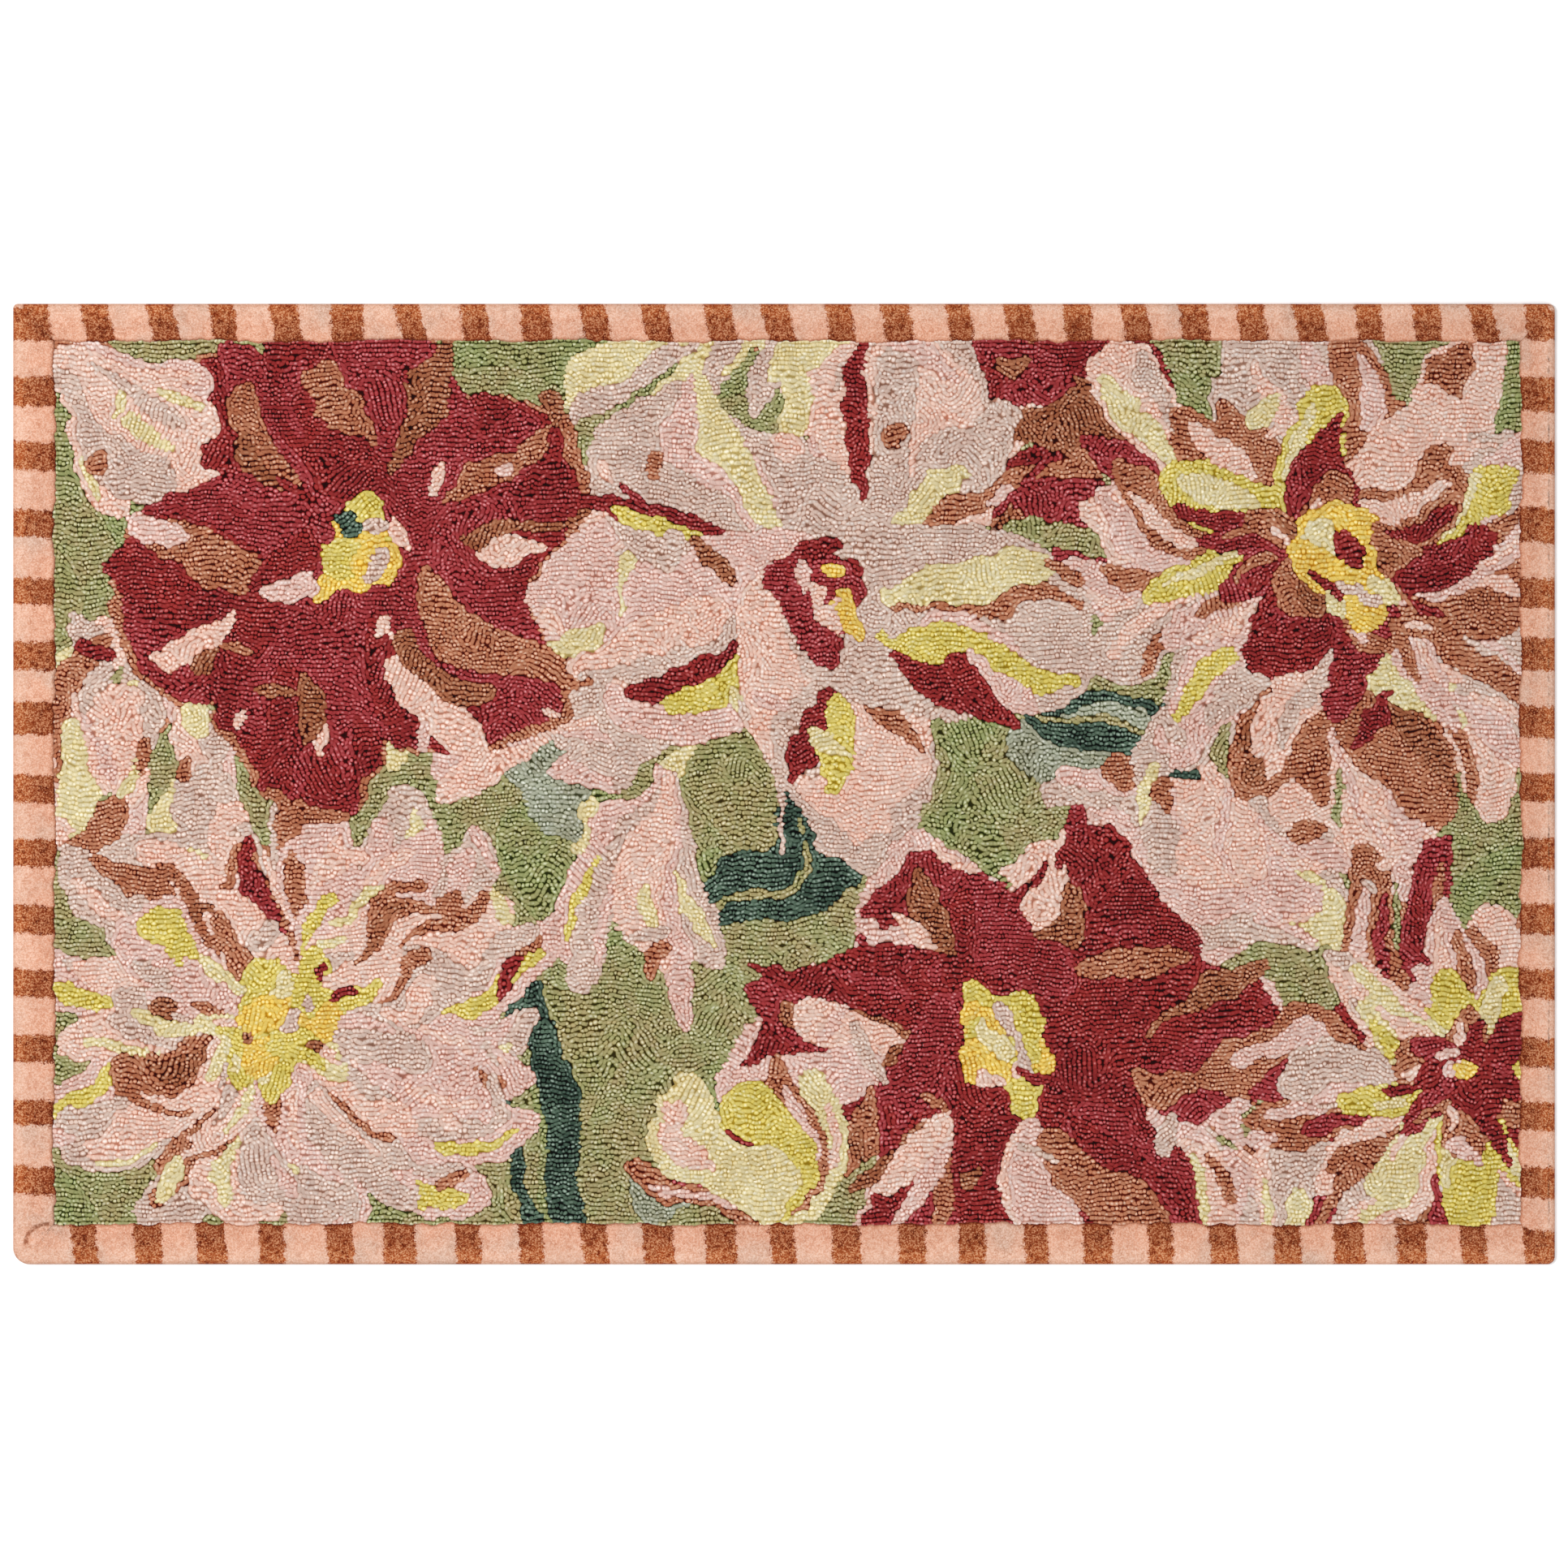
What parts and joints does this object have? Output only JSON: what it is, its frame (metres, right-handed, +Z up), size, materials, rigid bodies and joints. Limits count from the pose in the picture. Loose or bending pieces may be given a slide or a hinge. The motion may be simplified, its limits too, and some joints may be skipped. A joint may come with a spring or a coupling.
{
  "type": "rug",
  "caption": "Flat rectangular hooked rug: a floral loop-pile field in wavy rows inside a striped cut-pile border with softly rounded corners.",
  "frame": {"origin": "on the floor under the middle of the rug's outline", "axes": "+X along the rug's length, +Y across its width, +Z up out of the pile"},
  "size_m": [2.44, 1.52, 0.0134],
  "materials": {
    "loop_pile": "matt wool loops in several plain colours",
    "cut_pile": "matt sheared wool, peach with rust stripes"
  },
  "bodies": {
    "root": {"rug_field": "loop_pile", "rug_border": "cut_pile"}
  },
  "joints": []
}
